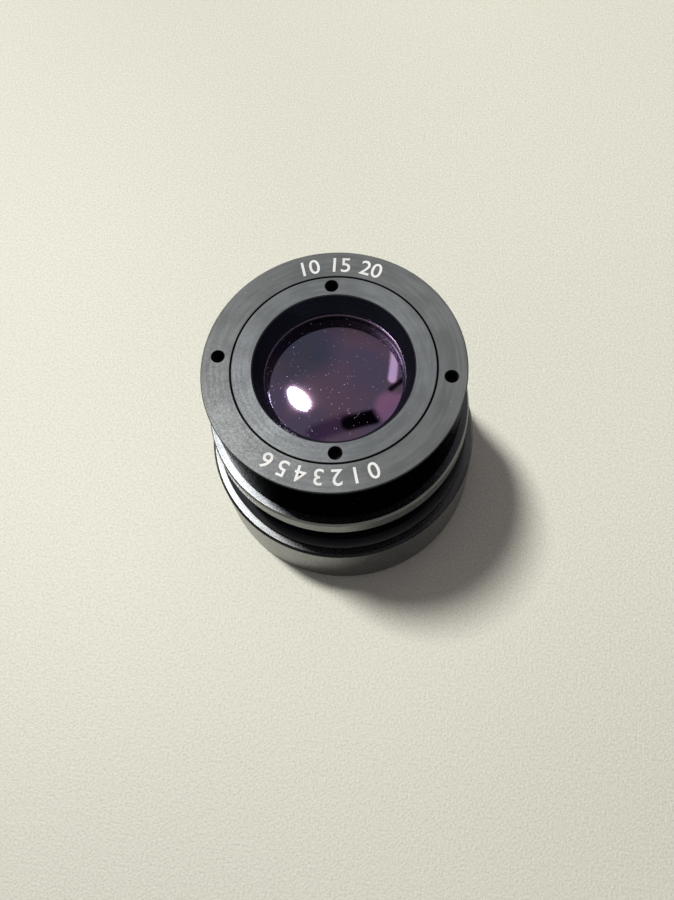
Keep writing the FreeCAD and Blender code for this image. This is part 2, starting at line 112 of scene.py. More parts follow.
class Graph:
    """A node tree with short ways to add and wire its nodes."""

    def __init__(self, tree: bpy.types.NodeTree) -> None:
        """Take over an empty tree."""
        self.tree = tree

    def add(self, kind: str, inputs: Inputs | None = None, **settings: Value) -> bpy.types.Node:
        """Add a node.

        Args:
            kind: The node's type.
            inputs: Values or sockets for its inputs, by name or number.
            settings: Values for the node's own properties.

        Returns:
            The new node.
        """
        node = self.tree.nodes.new(kind)
        for name, value in settings.items():
            setattr(node, name, value)
        return self.feed(node, inputs or {})

    def feed(self, node: bpy.types.Node, inputs: Inputs) -> bpy.types.Node:
        """Set or wire a node's inputs.

        Args:
            node: The node.
            inputs: Values or sockets for its inputs, by name or number.

        Returns:
            The same node.
        """
        for key, value in inputs.items():
            if isinstance(value, bpy.types.NodeSocket):
                self.tree.links.new(value, node.inputs[key])
            else:
                node.inputs[key].default_value = value
        return node

    def calc(self, operation: str, *values: Value) -> bpy.types.NodeSocket:
        """Add a Math node and return its result."""
        return self.add("ShaderNodeMath", dict(enumerate(values)), operation=operation).outputs[0]

    def fit(self, value: Value, span: Span = NOISE_SPAN, to: Span = UNIT_SPAN) -> bpy.types.NodeSocket:
        """Map a value smoothly from one span onto another."""
        ends = {"From Min": span[0], "From Max": span[1], "To Min": to[0], "To Max": to[1]}
        inputs = {"Value": value, **ends}
        return self.add("ShaderNodeMapRange", inputs, interpolation_type="SMOOTHSTEP").outputs["Result"]

    def blend(self, share: Value, first: Value, second: Value) -> bpy.types.NodeSocket:
        """Mix two colours, with a share for the second one."""
        mix = self.add("ShaderNodeMix", {0: share, 6: first, 7: second}, data_type="RGBA")
        return mix.outputs[2]

    def join(self, x: Value, y: Value, z: Value) -> bpy.types.NodeSocket:
        """Put three numbers together as a vector."""
        return self.add("ShaderNodeCombineXYZ", {0: x, 1: y, 2: z}).outputs[0]

    def position(self) -> bpy.types.NodeSocket:
        """The place on the object, in its own coordinates."""
        return self.add("ShaderNodeTexCoord").outputs["Object"]

    def noise(self, vector: Value, scale: float, detail: float = 2.0) -> bpy.types.NodeSocket:
        """Smooth noise between 0 and 1, with scale blobs in one unit of the vector."""
        inputs = {"Vector": vector, "Scale": scale, "Detail": detail}
        return self.add("ShaderNodeTexNoise", inputs).outputs[0]


def new_group(
    name: str, kind: str, takes: dict[str, SocketKind], gives: dict[str, SocketKind]
) -> Graph:
    """Start a node group with named sockets.

    Args:
        name: The group's name.
        kind: The type of tree.
        takes: Names and kinds of the inputs.
        gives: Names and kinds of the outputs.

    Returns:
        The graph of the new group.
    """
    tree = bpy.data.node_groups.new(name, kind)
    for label, socket in takes.items():
        tree.interface.new_socket(name=label, in_out="INPUT", socket_type=socket.value)
    for label, socket in gives.items():
        tree.interface.new_socket(name=label, in_out="OUTPUT", socket_type=socket.value)
    return Graph(tree)


class SharedMarks:
    """Shader groups for marks that more than one finish shows."""

    STREAK_STRETCH = 0.13
    STREAK_SCALE = 2.3
    CLUSTER_SCALE = 2600.0
    CLUSTER_SPAN = (0.45, 0.7)

    def __init__(self) -> None:
        """Build each group once."""
        self.turning = self._turning()
        self.mottle = self._mottle()
        self.specks = self._specks()

    def _turning(self) -> bpy.types.NodeTree:
        """Fine rings left by a lathe tool, on faces and on walls alike."""
        graph = new_group(
            "turning_rings",
            "ShaderNodeTree",
            {"Rings per Metre": SocketKind.NUMBER},
            {"Height": SocketKind.NUMBER, "Streak": SocketKind.NUMBER},
        )
        given = graph.add("NodeGroupInput")
        place = graph.add("ShaderNodeSeparateXYZ", {0: graph.position()})
        x, y, z = place.outputs
        squares = (graph.calc("MULTIPLY", x, x), graph.calc("MULTIPLY", y, y))
        reach = graph.calc("SQRT", graph.calc("ADD", *squares))
        along = graph.calc("MULTIPLY", graph.calc("ADD", reach, z), given.outputs[0])
        around = graph.calc("ARCTAN2", y, x)
        slow = (graph.calc("COSINE", around), graph.calc("SINE", around))
        rings = graph.noise(graph.join(along, *slow), 1.0, 1.0)
        stretched = graph.join(graph.calc("MULTIPLY", along, self.STREAK_STRETCH), *slow)
        streaks = graph.noise(stretched, self.STREAK_SCALE, 3.0)
        graph.add("NodeGroupOutput", {"Height": rings, "Streak": streaks})
        return graph.tree

    def _mottle(self) -> bpy.types.NodeTree:
        """Soft cloudy changes of tone with a fine grain on top."""
        graph = new_group(
            "soft_mottle",
            "ShaderNodeTree",
            {"Cloud Scale": SocketKind.NUMBER, "Grain Scale": SocketKind.NUMBER},
            {"Cloud": SocketKind.NUMBER, "Grain": SocketKind.NUMBER},
        )
        given = graph.add("NodeGroupInput")
        place = graph.position()
        cloud = graph.noise(place, given.outputs[0])
        grain = graph.noise(place, given.outputs[1], 1.0)
        graph.add("NodeGroupOutput", {"Cloud": cloud, "Grain": grain})
        return graph.tree

    def _specks(self) -> bpy.types.NodeTree:
        """Scattered specks of dust."""
        graph = new_group(
            "dust_specks",
            "ShaderNodeTree",
            {"Cells per Metre": SocketKind.NUMBER, "Speck Size": SocketKind.NUMBER},
            {"Mask": SocketKind.NUMBER},
        )
        given = graph.add("NodeGroupInput")
        place = graph.position()
        cluster = graph.fit(graph.noise(place, self.CLUSTER_SCALE), self.CLUSTER_SPAN)
        cells = graph.add("ShaderNodeTexVoronoi", {"Vector": place, "Scale": given.outputs[0]})
        size = graph.calc("MULTIPLY", given.outputs[1], cluster)
        inside = graph.calc("LESS_THAN", cells.outputs["Distance"], size)
        graph.add("NodeGroupOutput", {"Mask": inside})
        return graph.tree


MARKS = SharedMarks()


def shade(hue: Colour, factor: float) -> tuple[float, ...]:
    """An opaque colour, made darker or lighter by a factor."""
    return (*(min(1.0, part * factor) for part in hue), 1.0)


def around(middle: float, swing: float) -> Span:
    """The span that reaches a swing to both sides of a number."""
    return (middle - swing, middle + swing)


@dataclass(frozen=True)
class Finish:
    """What every finish has: a name, and a material that is built when first asked for."""

    name: str

    def made(self) -> bpy.types.Material:
        """The material, built at the first call.

        Returns:
            The material with its nodes.
        """
        known = bpy.data.materials.get(self.name)
        if known:
            return known
        material = bpy.data.materials.new(self.name)
        material.use_nodes = True
        graph = Graph(material.node_tree)
        graph.feed(material.node_tree.nodes["Principled BSDF"], self.inputs(graph))
        return material

    def inputs(self, graph: Graph) -> Inputs:
        """What goes into the surface shader."""
        raise NotImplementedError

    def marks(self, graph: Graph, tree: bpy.types.NodeTree, *values: float) -> bpy.types.NodeOutputs:
        """Place a shared group of marks with values for its inputs in order."""
        return graph.add("ShaderNodeGroup", dict(enumerate(values)), node_tree=tree).outputs

    def relief(self, graph: Graph, height: Value, depth: float) -> bpy.types.NodeSocket:
        """The normal of a relief of a depth in metres."""
        inputs = {"Height": height, "Distance": depth, "Strength": 1.0}
        return graph.add("ShaderNodeBump", inputs).outputs[0]


@dataclass(frozen=True)
class Anodised(Finish):
    """Black anodised aluminium: dark, satin and metallic."""

    tint: Colour
    roughness: float
    grain: Grain = Grain.TURNED
    stretch: float = 0.5
    quarter_turn: float = 0.25
    edge: float = 1.0
    rings: float = 9000.0
    depth: float = mm(0.0014)
    cloud_scale: float = 260.0
    grain_scale: float = 5200.0
    tone_span: Span = (0.75, 1.25)
    tone_swing: float = 0.14
    gloss_swing: float = 0.04
    dust_cells: float = 1500.0
    dust_size: float = 0.1
    dust_share: float = 0.25
    dust_hue: Colour = (0.55, 0.55, 0.52)

    def inputs(self, graph: Graph) -> Inputs:
        """What goes into the surface shader."""
        turning = self.marks(graph, MARKS.turning, self.rings)
        mottle = self.marks(graph, MARKS.mottle, self.cloud_scale, self.grain_scale)
        specks = self.marks(graph, MARKS.specks, self.dust_cells, self.dust_size)
        tone = graph.fit(graph.calc("ADD", turning["Streak"], mottle["Cloud"]), self.tone_span)
        colour = graph.blend(tone, *(shade(self.tint, factor) for factor in around(1, self.tone_swing)))
        dust = graph.calc("MULTIPLY", specks["Mask"], self.dust_share)
        height = turning["Height"] if self.grain is Grain.TURNED else mottle["Grain"]
        inputs = {
            "Base Color": graph.blend(dust, colour, shade(self.dust_hue, 1.0)),
            "Roughness": graph.fit(mottle["Grain"], to=around(self.roughness, self.gloss_swing)),
            "Normal": self.relief(graph, height, self.depth),
            "Metallic": 1.0,
            "Specular Tint": shade((self.edge, self.edge, self.edge), 1.0),
        }
        if self.grain is Grain.TURNED:
            inputs |= {"Anisotropic": self.stretch, "Anisotropic Rotation": self.quarter_turn}
        return inputs


@dataclass(frozen=True)
class Coating(Finish):
    """An infrared lens with its coating: opaque, violet and mirror-like, with a little dust."""

    tint: Colour = (0.2, 0.16, 0.26)
    cast: Colour = (0.26, 0.17, 0.24)
    gloss: Span = (0.03, 0.06)
    depth: float = mm(0.01)
    cloud_scale: float = 180.0
    grain_scale: float = 3000.0
    cast_span: Span = (0.35, 0.65)
    dust_cells: float = 4200.0
    dust_size: float = 0.16
    dust_share: float = 0.5
    dust_hue: Colour = (0.7, 0.66, 0.72)

    def inputs(self, graph: Graph) -> Inputs:
        """What goes into the surface shader."""
        mottle = self.marks(graph, MARKS.mottle, self.cloud_scale, self.grain_scale)
        specks = self.marks(graph, MARKS.specks, self.dust_cells, self.dust_size)
        share = graph.fit(mottle["Cloud"], self.cast_span)
        colour = graph.blend(share, shade(self.tint, 1.0), shade(self.cast, 1.0))
        dust = graph.calc("MULTIPLY", specks["Mask"], self.dust_share)
        return {
            "Base Color": graph.blend(dust, colour, shade(self.dust_hue, 1.0)),
            "Roughness": graph.calc("ADD", dust, graph.fit(mottle["Cloud"], to=self.gloss)),
            "Normal": self.relief(graph, mottle["Cloud"], self.depth),
            "Metallic": 1.0,
        }


@dataclass(frozen=True)
class Matt(Finish):
    """Rubber, plastic, paint or film: one hue with a soft grain."""

    hue: Colour
    roughness: float
    metallic: float = 0.0
    cloud_scale: float = 400.0
    grain_scale: float = 4000.0
    depth: float = mm(0.01)
    tone_swing: float = 0.15
    gloss_swing: float = 0.05

    def inputs(self, graph: Graph) -> Inputs:
        """What goes into the surface shader."""
        mottle = self.marks(graph, MARKS.mottle, self.cloud_scale, self.grain_scale)
        tones = (shade(self.hue, factor) for factor in around(1, self.tone_swing))
        return {
            "Base Color": graph.blend(graph.fit(mottle["Cloud"]), *tones),
            "Roughness": graph.fit(mottle["Grain"], to=around(self.roughness, self.gloss_swing)),
            "Normal": self.relief(graph, mottle["Grain"], self.depth),
            "Metallic": self.metallic,
        }


@dataclass(frozen=True)
class TableTop(Finish):
    """A cream laminate with a fine pearl grain, and painted shade that makes it a little darker towards
    the near side.
    """

    hue: Colour = (0.785, 0.775, 0.64)
    roughness: float = 0.5
    depth: float = mm(0.09)
    fine_scale: float = 3400.0
    fine_share: float = 0.7
    broad_scale: float = 9.0
    tones: Span = (0.86, 1.12)
    # Painted shade towards the near side: its slope, span, share and darkest tone.
    painted_shade_slope: float = 0.25
    painted_shade_span: Span = (mm(-5), mm(60))
    painted_shade_share: float = 0.26
    painted_shade_tone: float = 0.25

    def inputs(self, graph: Graph) -> Inputs:
        """What goes into the surface shader."""
        place = graph.position()
        fine = graph.noise(place, self.fine_scale, 5.0)
        broad = graph.noise(place, self.broad_scale, 1.0)
        shares = (
            graph.calc("MULTIPLY", fine, self.fine_share),
            graph.calc("MULTIPLY", broad, 1 - self.fine_share),
        )
        tone = graph.fit(graph.calc("ADD", *shares))
        colour = graph.blend(tone, *(shade(self.hue, factor) for factor in self.tones))
        x, y = graph.add("ShaderNodeSeparateXYZ", {0: place}).outputs[:2]
        # Painted shade: the colour darkens towards the near side (-Y) and a little towards +X.
        nearness = graph.calc("SUBTRACT", graph.calc("MULTIPLY", x, self.painted_shade_slope), y)
        painted_shade_amount = graph.calc("MULTIPLY", graph.fit(nearness, self.painted_shade_span), self.painted_shade_share)
        return {
            "Base Color": graph.blend(painted_shade_amount, colour, shade(self.hue, self.painted_shade_tone)),
            "Roughness": self.roughness,
            "Normal": self.relief(graph, fine, self.depth),
        }


CELL_BLACK = Anodised("cell_anodised", tint=(0.098, 0.102, 0.101), roughness=0.5, stretch=0.3)
RING_BLACK = Anodised("ring_anodised", tint=(0.105, 0.111, 0.113), roughness=0.5, stretch=0.3)
LOCK_BLACK = Anodised("lock_ring_anodised", tint=(0.12, 0.126, 0.13), roughness=0.25, stretch=0.3)
BARREL_BLACK = Anodised("barrel_anodised", tint=(0.12, 0.123, 0.124), roughness=0.25, stretch=0.3)
# The thread ridges' anodising, with painted shade: a darker tint and weaker reflection than the
# barrel's, for the shade in the thread's grooves.
SHADED_THREAD_BLACK = Anodised(
    "thread_anodised_painted_shade", tint=(0.03, 0.034, 0.046), roughness=0.35, grain=Grain.BLASTED, edge=0.3
)
# The cell's anodising below its front face, with painted shade: a far darker tint and weaker reflection
# than the face, for the shade under the flange.
SHADED_NECK_BLACK = Anodised("neck_anodised_painted_shade", tint=(0.012, 0.014, 0.022), roughness=0.28, edge=0.12)
BORE_BLACK = Anodised("bore_anodised", tint=(0.05, 0.054, 0.08), roughness=0.3)
FRONT_COATING = Coating("front_lens_coating")
REAR_COATING = Coating(
    "rear_lens_coating", tint=(0.14, 0.2, 0.24), cast=(0.2, 0.17, 0.26), dust_size=0.1
)
SEAL_RUBBER = Matt("seal_rubber", hue=(0.002, 0.002, 0.0022), roughness=0.12, depth=mm(0.0005))
DIAL_WHITE = Matt("dial_white", hue=(0.82, 0.81, 0.76), roughness=0.55, tone_swing=0.08)
SHIM_BRASS = Matt("shim_brass", hue=(0.75, 0.55, 0.24), roughness=0.3, metallic=1.0, depth=mm(0.002))
ACETAL_WHITE = Matt("acetal_white", hue=(0.72, 0.71, 0.67), roughness=0.4)
SLIP_FILM = Matt("slip_film", hue=(0.6, 0.42, 0.16), roughness=0.35)
STOP_BLACK = Anodised("stop_anodised", tint=(0.05, 0.05, 0.055), roughness=0.5, grain=Grain.BLASTED)
# Near-black painted shade for the walls of the drilled holes.
HOLE_PAINTED_SHADE = Matt("hole_painted_shade", hue=(0.003, 0.003, 0.004), roughness=0.7)


@dataclass(frozen=True)
class Extent:
    """What a solid of the frame takes up: its outer radius and its two ends."""

    radius: float
    foot: float
    top: float

    @classmethod
    def of(cls, node: str) -> "Extent":
        """Measure a solid of the frame, to a hundredth of a millimetre."""
        low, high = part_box(node)
        return cls(round(max(high.x, high.y), 5), round(low.z, 5), round(high.z, 5))


@dataclass(frozen=True)
class Corner:
    """A corner of a half-section, with the radius of its rounding."""

    radius: float
    height: float
    rounding: float = 0.0


@dataclass(frozen=True)
class Hole:
    """A blind hole drilled down from a face, with a fine countersink."""

    azimuth: float
    circle: float
    top: float
    radius: float
    depth: float
    countersink: float = mm(0.06)
    start: float = mm(0.5)
    point: float = mm(0.15)


def rounded(corners: Sequence[Corner], steps: int = 4, guard: float = mm(0.03)) -> Outline:
    """Round the corners of a closed half-section.

    Args:
        corners: The corners in order.
        steps: Straight pieces in each rounding.
        guard: How far beyond a rounding a further point keeps the flat beside it flat.

    Returns:
        The outline's points.
    """
    points: Outline = []
    places = [Vector((corner.radius, corner.height)) for corner in corners]
    for index, corner in enumerate(corners):
        here = places[index]
        before = places[index - 1] - here
        after = places[(index + 1) % len(places)] - here
        room = ROUNDING_ROOM * min(before.length, after.length)
        before.normalize()
        after.normalize()
        half = math.acos(max(-1.0, min(1.0, before.dot(after)))) / 2
        reach = min(corner.rounding / math.tan(half), room) if corner.rounding else 0.0
        if not reach:
            points.append((here.x, here.y))
            continue
        start, end = here + before * reach, here + after * reach
        keep = min(guard, room - reach)
        guarded = keep > SHORTEST_GUARD
        if guarded:
            points.append(tuple(start + before * keep))
        for step in range(steps + 1):
            share = step / steps
            bent = start * (1 - share) ** 2 + here * 2 * share * (1 - share) + end * share**2
            points.append((bent.x, bent.y))
        if guarded:
            points.append(tuple(end + after * keep))
    return points


def sagitta(curve: float, rim: float) -> float:
    """How far a sphere of radius curve falls from its apex to its rim."""
    return curve - math.sqrt(curve**2 - rim**2)


def bulge(curve: float, rim: float, rim_height: float, apex_height: float, steps: int) -> Outline:
    """Points from the axis out to a rim along a sphere about the axis.

    Args:
        curve: The sphere's radius.
        rim: Radius at which the curve ends.
        rim_height: Height of the rim.
        apex_height: Height on the axis.
        steps: Straight pieces along the curve.

    Returns:
        The points, from the axis to the rim.
    """
    side = 1.0 if rim_height < apex_height else -1.0
    far = math.asin(rim / curve)
    turns = [far * step / steps for step in range(steps + 1)]
    return [
        (curve * math.sin(turn), apex_height - side * curve * (1 - math.cos(turn)))
        for turn in turns
    ]


def smooth(mesh: bpy.types.Mesh) -> None:
    """Shade a mesh smooth, except across its sharp edges."""
    mesh.shade_smooth()
    mesh.set_sharp_from_angle(angle=SHARP_ANGLE)


def finish_mesh(shape: bmesh.types.BMesh, name: str, finish: Finish | None = None) -> bpy.types.Object:
    """Turn a shape into a smooth piece whose faces point outwards.

    Args:
        shape: The shape, which is used up.
        name: The piece's name.
        finish: Its finish, if it has one.

    Returns:
        The new object, linked into the scene.
    """
    bmesh.ops.recalc_face_normals(shape, faces=shape.faces)
    if shape.calc_volume(signed=True) < 0:
        bmesh.ops.reverse_faces(shape, faces=shape.faces)
    mesh = bpy.data.meshes.new(name)
    shape.to_mesh(mesh)
    shape.free()
    smooth(mesh)
    if finish:
        mesh.materials.append(finish.made())
    piece = bpy.data.objects.new(name, mesh)
    bpy.context.scene.collection.objects.link(piece)
    return piece


def turned(name: str, outline: Outline, finish: Finish, steps: int = ROUND_STEPS) -> bpy.types.Object:
    """Spin a closed half-section about the optical axis.

    Args:
        name: The piece's name.
        outline: Its half-section; points on the axis become poles.
        finish: Its finish.
        steps: Straight pieces around the axis.

    Returns:
        The turned piece.
    """
    shape = bmesh.new()
    loops: list[list[bmesh.types.BMVert]] = []
    for radius, height in outline:
        if radius < ON_AXIS:
            loops.append([shape.verts.new((0.0, 0.0, height))])
            continue
        turns = (2 * math.pi * step / steps for step in range(steps))
        around = ((radius * math.cos(turn), radius * math.sin(turn), height) for turn in turns)
        loops.append([shape.verts.new(place) for place in around])
    for index, lower in enumerate(loops):
        upper = loops[(index + 1) % len(loops)]
        if len(lower) == 1 and len(upper) == 1:
            continue
        for step in range(steps):
            after = (step + 1) % steps
            near, far = step % len(lower), after % len(lower)
            ring = [lower[near], lower[far], upper[after % len(upper)], upper[step % len(upper)]]
            shape.faces.new(list(dict.fromkeys(ring)))
    return finish_mesh(shape, name, finish)


def flattened(piece: bpy.types.Object) -> bpy.types.Object:
    """Replace a piece's mesh by what its modifiers make of it."""
    bpy.context.view_layer.update()
    graph = bpy.context.evaluated_depsgraph_get()
    mesh = bpy.data.meshes.new_from_object(piece.evaluated_get(graph))
    piece.modifiers.clear()
    piece.data = mesh
    return piece


def cut_out(
    piece: bpy.types.Object, tools: Iterable[bpy.types.Object], mode: CutFinish
) -> bpy.types.Object:
    """Cut shapes out of a piece, one after the other.

    Args:
        piece: The piece to cut.
        tools: The shapes, which are used up.
        mode: Where the cut faces take their finish from.

    Returns:
        The cut piece.
    """
    for tool in tools:
        cut = piece.modifiers.new("cut", "BOOLEAN")
        cut.operation = "DIFFERENCE"
        cut.solver = "EXACT"
        cut.material_mode = mode.value
        cut.object = tool
        flattened(piece)
        bpy.data.objects.remove(tool)
    smooth(piece.data)
    return piece


def drill_bit(hole: Hole) -> bpy.types.Object:
    """The shape that a blind hole takes out, from above the face to its point."""
    lead, above = hole.radius + hole.countersink, hole.top + hole.start
    foot = hole.top - hole.depth
    outline = [
        (0.0, above),
        (lead, above),
        (lead, hole.top),
        (hole.radius, hole.top - hole.countersink),
        (hole.radius, foot),
        (0.0, foot - hole.point),
    ]
    # The bit's near-black painted shade passes on to the walls of the hole it cuts.
    bit = turned("drill_bit", outline, HOLE_PAINTED_SHADE, DRILL_STEPS)
    turn = math.radians(hole.azimuth)
    place = (hole.circle * math.cos(turn), hole.circle * math.sin(turn), 0.0)
    bit.data.transform(Matrix.Translation(place))
    return bit


def refinish(piece: bpy.types.Object, finish: Finish, chosen: Callable[[Vector], bool]) -> None:
    """Give some faces of a piece a second finish.

    Args:
        piece: The piece.
        finish: The second finish.
        chosen: Whether a face gets it, from the face's centre.
    """
    piece.data.materials.append(finish.made())
    for polygon in piece.data.polygons:
        if chosen(polygon.center):
            polygon.material_index = 1


class WoundRidge:
    """A Geometry Nodes tree that winds one thread ridge up the optical axis."""

    BURIED = 1.3
    ROOT_WIDTH = 1.1
    CREST_WIDTH = 0.125
    RUN_OUT = 0.6
    STEPS = 144
    TAKES = {
        "Geometry": SocketKind.SHAPE,
        "Root Radius": SocketKind.NUMBER,
        "Pitch": SocketKind.NUMBER,
        "Depth": SocketKind.NUMBER,
        "Turns": SocketKind.NUMBER,
        "Foot": SocketKind.NUMBER,
        "Steps per Turn": SocketKind.WHOLE,
        "Finish": SocketKind.FINISH,
    }

    def __init__(self) -> None:
        """Build the tree."""
        graph = new_group("wound_ridge", "GeometryNodeTree", self.TAKES, {"Geometry": SocketKind.SHAPE})
        given = graph.add("NodeGroupInput").outputs
        tall = graph.calc("MULTIPLY", given["Pitch"], given["Turns"])
        line = graph.add(
            "GeometryNodeCurveSpiral",
            {
                "Resolution": given["Steps per Turn"],
                "Rotations": given["Turns"],
                "Start Radius": given["Root Radius"],
                "End Radius": given["Root Radius"],
                "Height": tall,
                "Reverse": False,
            },
        )
        upright = graph.add("GeometryNodeSetCurveNormal", {"Curve": line.outputs[0]}, mode="Z_UP")
        buried = graph.calc("MULTIPLY", given["Depth"], self.BURIED)
        section = graph.add(
            "GeometryNodeCurvePrimitiveQuadrilateral",
            {
                "Height": buried,
                "Bottom Width": graph.calc("MULTIPLY", given["Pitch"], self.ROOT_WIDTH),
                "Top Width": graph.calc("MULTIPLY", given["Pitch"], self.CREST_WIDTH),
                "Offset": 0.0,
            },
            mode="TRAPEZOID",
        )
        lift = graph.calc("SUBTRACT", given["Depth"], graph.calc("MULTIPLY", buried, 0.5))
        outward = graph.add(
            "GeometryNodeTransform",
            {"Geometry": section.outputs[0], "Translation": graph.join(0.0, lift, 0.0)},
        )
        ridge = graph.add(
            "GeometryNodeCurveToMesh",
            {"Curve": upright.outputs[0], "Profile Curve": outward.outputs[0], "Fill Caps": True},
        )
        raised = graph.add(
            "GeometryNodeTransform",
            {"Geometry": ridge.outputs[0], "Translation": graph.join(0.0, 0.0, given["Foot"])},
        )
        solid = graph.add("GeometryNodeRealizeInstances", {"Geometry": raised.outputs[0]})
        dressed = graph.add(
            "GeometryNodeSetMaterial", {"Geometry": solid.outputs[0], "Material": given["Finish"]}
        )
        graph.add("NodeGroupOutput", {0: dressed.outputs[0]})
        self.tree = graph.tree

    def wind(self, name: str, crest: float, pitch: float, depth: float, span: Span) -> bpy.types.Object:
        """Wind a ridge.

        Args:
            name: The piece's name.
            crest: Outer radius of the thread.
            pitch: Rise in one turn.
            depth: Height of the ridge above its root.
            span: Lowest and highest point of the thread.

        Returns:
            The ridge as a plain mesh piece.
        """
        foot, top = span[0] + self.RUN_OUT * pitch, span[1] - self.RUN_OUT * pitch
        piece = bpy.data.objects.new(name, bpy.data.meshes.new(name))
        bpy.context.scene.collection.objects.link(piece)
        modifier = piece.modifiers.new("thread", "NODES")
        modifier.node_group = self.tree
        values = {
            "Root Radius": crest - depth,
            "Pitch": pitch,
            "Depth": depth,
            "Turns": (top - foot) / pitch,
            "Foot": foot,
            "Steps per Turn": self.STEPS,
            "Finish": SHADED_THREAD_BLACK.made(),
        }
        for item in self.tree.interface.items_tree:
            if item.in_out == "INPUT" and item.name in values:
                modifier[item.identifier] = values[item.name]
        flattened(piece)
        shape = bmesh.new()
        shape.from_mesh(piece.data)
        bmesh.ops.remove_doubles(shape, verts=shape.verts, dist=WELD)
        bpy.data.objects.remove(piece)
        # The ridge takes the thread finish with its painted shade.
        return finish_mesh(shape, name, SHADED_THREAD_BLACK)


THREADS = WoundRidge()


def settle(piece: bpy.types.Object, slot: str, *nodes: str) -> None:
    """Fix a finished piece to the frame and report it.

    Args:
        piece: The piece.
        slot: Not used.
        nodes: The solids that it stands for.
    """
    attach(piece, BODY)
    if nodes:
        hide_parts(*nodes)
    stands_for = ", ".join(nodes) or "no solid"
    log.info("%s: %d faces, for %s", piece.name, len(piece.data.polygons), stands_for)


@dataclass
class MountBarrel:
    """The smooth rear body with its threaded collar, and the seal on its shoulder."""

    collar_radius: float = mm(15.25)
    body_height: float = mm(10.0)
    edge: float = mm(0.3)
    focus_bore: float = mm(14.28)
    focus_bore_foot: float = mm(12.1)
    groove_root: float = mm(14.5)
    groove_top: float = mm(11.6)
    pilot_bore: float = mm(13.65)
    rear_bore: float = mm(12.4)
    rear_bore_length: float = mm(3.4)
    pitch: float = mm(0.5)
    thread_depth: float = mm(0.28)
    collar_lip: float = mm(0.05)
    lead_in: float = mm(0.1)
    softening: float = mm(0.05)
    extent: Extent = field(default_factory=lambda: Extent.of("mount_barrel"))
    seal: Extent = field(default_factory=lambda: Extent.of("housing_seal_ring"))

    def body(self) -> bpy.types.Object:
        """The turned barrel, without the ridge of its thread."""
        out, top, soft = self.extent.radius, self.extent.top, self.softening
        root = self.collar_radius - self.thread_depth
        corners = [
            Corner(self.rear_bore + self.edge, 0.0, soft),
            Corner(out - self.edge, 0.0, soft),
            Corner(out, self.edge, soft),
            Corner(out, self.body_height - self.edge, soft),
            Corner(out - self.edge, self.body_height, soft),
            Corner(self.groove_root, self.body_height),
            Corner(self.groove_root, self.groove_top),
            Corner(root, self.groove_top),
            Corner(root, top - self.edge),
            Corner(root - self.collar_lip, top),
            Corner(self.focus_bore + self.lead_in, top),
            Corner(self.focus_bore, top - self.lead_in),
            Corner(self.focus_bore, self.focus_bore_foot),
            Corner(self.pilot_bore, self.focus_bore_foot),
            Corner(self.pilot_bore, self.rear_bore_length),
            Corner(self.rear_bore, self.rear_bore_length),
            Corner(self.rear_bore, self.edge),
        ]
        return turned("mount_body", rounded(corners), BARREL_BLACK)

    def collar_thread(self) -> bpy.types.Object:
        """The ridge of the collar's thread."""
        span = (self.groove_top, self.extent.top)
        return THREADS.wind("collar_thread", self.collar_radius, self.pitch, self.thread_depth, span)

    def shoulder_seal(self) -> bpy.types.Object:
        """The round rubber ring on the shoulder."""
        section = (self.seal.top - self.seal.foot) / 2
        centre = (self.seal.radius - section, self.seal.foot + section)
        turns = (2 * math.pi * step / SECTION_STEPS for step in range(SECTION_STEPS))
        outline = [
            (centre[0] + section * math.cos(turn), centre[1] + section * math.sin(turn))
            for turn in turns
        ]
        return turned("shoulder_seal", outline, SEAL_RUBBER)

    def build(self) -> None:
        """Build and dress the pieces."""
        settle(self.body(), "barrel_black", "mount_barrel")
        settle(self.collar_thread(), "barrel_black")
        settle(self.shoulder_seal(), "seal_rubber", "housing_seal_ring")


@dataclass
class LockRing:
    """The ring that jams the focus thread against the barrel."""

    bore: float = mm(14.28)
    edge: float = mm(0.15)
    bevel_width: float = mm(0.18)
    bevel_height: float = mm(0.45)
    softening: float = mm(0.03)
    extent: Extent = field(default_factory=lambda: Extent.of("lock_ring"))

    def build(self) -> None:
        """Build and dress the ring."""
        out, foot, top, soft = self.extent.radius, self.extent.foot, self.extent.top, self.softening
        corners = [
            Corner(self.bore, foot),
            Corner(out - self.edge, foot, soft),
            Corner(out, foot + self.edge, soft),
            Corner(out, top - self.bevel_height, soft),
            Corner(out - self.bevel_width, top, soft),
            Corner(self.bore + self.edge, top, soft),
            Corner(self.bore, top - self.edge, soft),
        ]
        settle(turned("lock_ring_band", rounded(corners), LOCK_BLACK), "lock_ring_black", "lock_ring")


